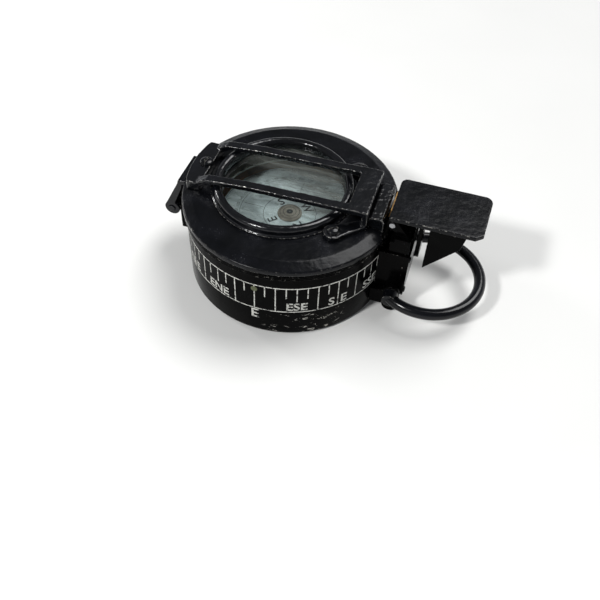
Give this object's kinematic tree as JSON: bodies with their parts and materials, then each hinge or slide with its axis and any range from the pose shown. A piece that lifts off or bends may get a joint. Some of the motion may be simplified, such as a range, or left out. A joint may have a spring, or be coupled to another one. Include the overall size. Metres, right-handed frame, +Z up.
{
  "type": "handheld bearing compass",
  "caption": "Round liquid bearing compass in a black case with a guarded window lid, folding reading prism, turning bezel and thumb ring.",
  "frame": {"origin": "centre of the round base, on the case axis, on the face it rests on", "axes": "+X towards the prism and thumb ring, -X towards the lid hinge, +Z up along the case axis"},
  "size_m": [0.0975, 0.062, 0.0348],
  "materials": {
    "enamel": "thick glossy black enamel, worn to metal at edges",
    "brass": "turned, unlacquered",
    "aged_brass": "dull, tarnished",
    "steel": "satin",
    "glass": "polished",
    "seal": "matt",
    "dial": "pearly",
    "white_paint": "matt",
    "black_line": "matt"
  },
  "bodies": {
    "case": {"case_body": "enamel", "base_cover": "enamel", "base_screws": "steel", "bowl": "brass", "expansion_diaphragm": "brass", "diaphragm_ring": "brass", "filler_plug": "brass", "pivot_post": "steel", "lubber_pointer": "white_paint", "bowl_glass": "glass", "glass_gasket": "seal", "lock_ring": "brass", "retaining_wire": "steel", "hinge_base": "enamel", "hinge_screws": "steel", "lid_hinge_pin": "steel", "prism_bracket": "enamel", "bracket_cover": "enamel", "cover_screws": "steel", "ring_lugs": "enamel"},
    "bezel": {"bezel_ring": "enamel", "bearing_glass": "glass", "glass_clamp": "brass"},
    "card": {"dial_card": "dial", "jewel_cap": "aged_brass", "compass_magnets": "steel"},
    "lid": {"lid_plate": "enamel", "lid_glass": "glass", "glass_seal": "seal", "window_rim": "enamel", "hair_line": "black_line", "window_guard": "enamel", "guard_screws": "steel", "lid_tongue": "enamel", "lid_hinge_leaf": "enamel"},
    "slide": {"prism_slide": "enamel", "focus_stud": "brass", "prism_pin": "steel"},
    "prism": {"prism_hinge": "brass", "prism_plate": "enamel", "prism_case": "enamel", "prism_glass": "glass", "sight_leaf": "enamel", "eye_lens": "glass"},
    "ring": {"thumb_ring": "enamel"}
  },
  "joints": [
    {"name": "lid_hinge", "type": "hinge", "parent": "case", "child": "lid", "pos_m": [-0.0356, 0, 0.0153], "axis": [0, -1, 0], "range_deg": [0, 165]},
    {"name": "bezel_turn", "type": "hinge", "parent": "case", "child": "bezel", "pos_m": [0, 0, 0.0237], "axis": [0, 0, 1], "continuous": true},
    {"name": "card_turn", "type": "hinge", "parent": "case", "child": "card", "pos_m": [0, 0, 0.0185], "axis": [0, 0, 1], "continuous": true},
    {"name": "focus_slide", "type": "slide", "parent": "case", "child": "slide", "axis": [0, 0, 1], "range_m": [0, 0.003]},
    {"name": "prism_fold", "type": "hinge", "parent": "slide", "child": "prism", "pos_m": [0.031, 0, 0.0302], "axis": [0, -1, 0], "range_deg": [0, 180]},
    {"name": "ring_swing", "type": "hinge", "parent": "case", "child": "ring", "pos_m": [0.0344, 0, 0.008], "axis": [0, -1, 0], "range_deg": [-90, 40]}
  ],
  "couplings": [
    {"joint": "prism_fold", "follows": "lid_hinge", "ratio": 1.0909}
  ]
}
